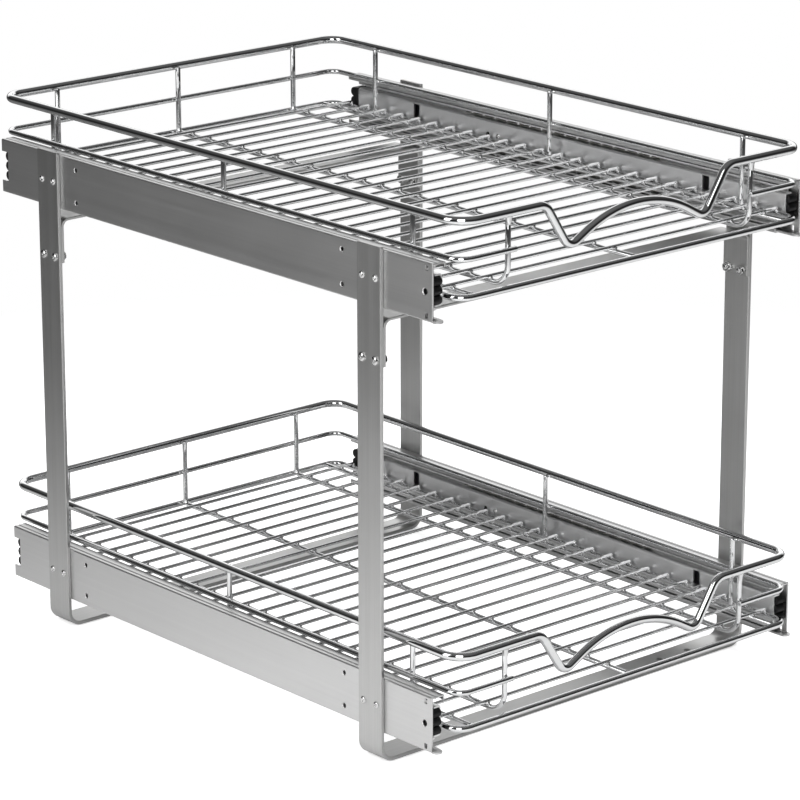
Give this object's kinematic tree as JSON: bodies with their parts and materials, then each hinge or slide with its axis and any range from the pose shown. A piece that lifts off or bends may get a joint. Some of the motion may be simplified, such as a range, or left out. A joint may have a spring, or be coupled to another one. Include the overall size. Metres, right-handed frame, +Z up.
{
  "type": "pull-out cabinet basket",
  "caption": "Two-tier pull-out cabinet organiser: chrome wire baskets with dipped front handles on ball-bearing slides, carried by a bolted frame of bent steel strap.",
  "frame": {"origin": "on the floor under the middle of the whole organiser with both baskets closed", "axes": "+X to the right as seen from the front, +Y towards the back of the cabinet, +Z up; the baskets pull out towards -Y"},
  "size_m": [0.3756, 0.536, 0.4127],
  "materials": {
    "strap": "brushed, clear coated",
    "outer_rail": "zinc plated, satin",
    "slide_member": "zinc plated, satin",
    "ball_cage": "pressed, passivated",
    "ball": "polished",
    "hardware": "bright zinc plated",
    "chrome_wire": "bright chrome plated",
    "bumper": "moulded black"
  },
  "bodies": {
    "frame": {"front_floor_frame": "strap", "rear_floor_frame": "strap", "upper_front_cross_bar": "strap", "upper_rear_cross_bar": "strap", "upper_left_outer_rail": "outer_rail", "upper_right_outer_rail": "outer_rail", "lower_left_outer_rail": "outer_rail", "lower_right_outer_rail": "outer_rail", "rail_rivets": "hardware", "cross_bar_bolts": "hardware", "cross_bar_nuts": "hardware", "upper_rear_bumpers": "bumper", "lower_rear_bumpers": "bumper"},
    "upper_basket": {"upper_top_rim": "chrome_wire", "upper_middle_rim": "chrome_wire", "upper_bottom_ring": "chrome_wire", "upper_cross_wires": "chrome_wire", "upper_left_long_wire": "chrome_wire", "upper_centre_long_wire": "chrome_wire", "upper_right_long_wire": "chrome_wire", "upper_side_long_wires": "chrome_wire", "upper_left_uprights": "chrome_wire", "upper_right_uprights": "chrome_wire", "upper_left_inner_member": "slide_member", "upper_right_inner_member": "slide_member", "upper_member_rivets": "hardware", "upper_front_bumpers": "bumper"},
    "upper_middle_members": {"upper_left_middle_member": "slide_member", "upper_right_middle_member": "slide_member"},
    "upper_outer_ball_cages": {"upper_outer_cages": "ball_cage", "upper_outer_balls": "ball"},
    "upper_inner_ball_cages": {"upper_inner_cages": "ball_cage", "upper_inner_balls": "ball"},
    "lower_basket": {"lower_top_rim": "chrome_wire", "lower_middle_rim": "chrome_wire", "lower_bottom_ring": "chrome_wire", "lower_cross_wires": "chrome_wire", "lower_left_long_wire": "chrome_wire", "lower_centre_long_wire": "chrome_wire", "lower_right_long_wire": "chrome_wire", "lower_side_long_wires": "chrome_wire", "lower_left_uprights": "chrome_wire", "lower_right_uprights": "chrome_wire", "lower_left_inner_member": "slide_member", "lower_right_inner_member": "slide_member", "lower_member_rivets": "hardware", "lower_front_bumpers": "bumper"},
    "lower_middle_members": {"lower_left_middle_member": "slide_member", "lower_right_middle_member": "slide_member"},
    "lower_outer_ball_cages": {"lower_outer_cages": "ball_cage", "lower_outer_balls": "ball"},
    "lower_inner_ball_cages": {"lower_inner_cages": "ball_cage", "lower_inner_balls": "ball"}
  },
  "joints": [
    {"name": "upper_basket_slide", "type": "slide", "parent": "frame", "child": "upper_basket", "axis": [0, -1, 0], "range_m": [0, 0.48]},
    {"name": "upper_middle_members_slide", "type": "slide", "parent": "frame", "child": "upper_middle_members", "axis": [0, -1, 0], "range_m": [0, 0.24]},
    {"name": "upper_outer_ball_cages_slide", "type": "slide", "parent": "frame", "child": "upper_outer_ball_cages", "axis": [0, -1, 0], "range_m": [0, 0.12]},
    {"name": "upper_inner_ball_cages_slide", "type": "slide", "parent": "frame", "child": "upper_inner_ball_cages", "axis": [0, -1, 0], "range_m": [0, 0.36]},
    {"name": "lower_basket_slide", "type": "slide", "parent": "frame", "child": "lower_basket", "axis": [0, -1, 0], "range_m": [0, 0.48]},
    {"name": "lower_middle_members_slide", "type": "slide", "parent": "frame", "child": "lower_middle_members", "axis": [0, -1, 0], "range_m": [0, 0.24]},
    {"name": "lower_outer_ball_cages_slide", "type": "slide", "parent": "frame", "child": "lower_outer_ball_cages", "axis": [0, -1, 0], "range_m": [0, 0.12]},
    {"name": "lower_inner_ball_cages_slide", "type": "slide", "parent": "frame", "child": "lower_inner_ball_cages", "axis": [0, -1, 0], "range_m": [0, 0.36]}
  ],
  "couplings": [
    {"joint": "upper_middle_members_slide", "follows": "upper_basket_slide", "ratio": 0.5},
    {"joint": "upper_outer_ball_cages_slide", "follows": "upper_basket_slide", "ratio": 0.25},
    {"joint": "upper_inner_ball_cages_slide", "follows": "upper_basket_slide", "ratio": 0.75},
    {"joint": "lower_middle_members_slide", "follows": "lower_basket_slide", "ratio": 0.5},
    {"joint": "lower_outer_ball_cages_slide", "follows": "lower_basket_slide", "ratio": 0.25},
    {"joint": "lower_inner_ball_cages_slide", "follows": "lower_basket_slide", "ratio": 0.75}
  ]
}
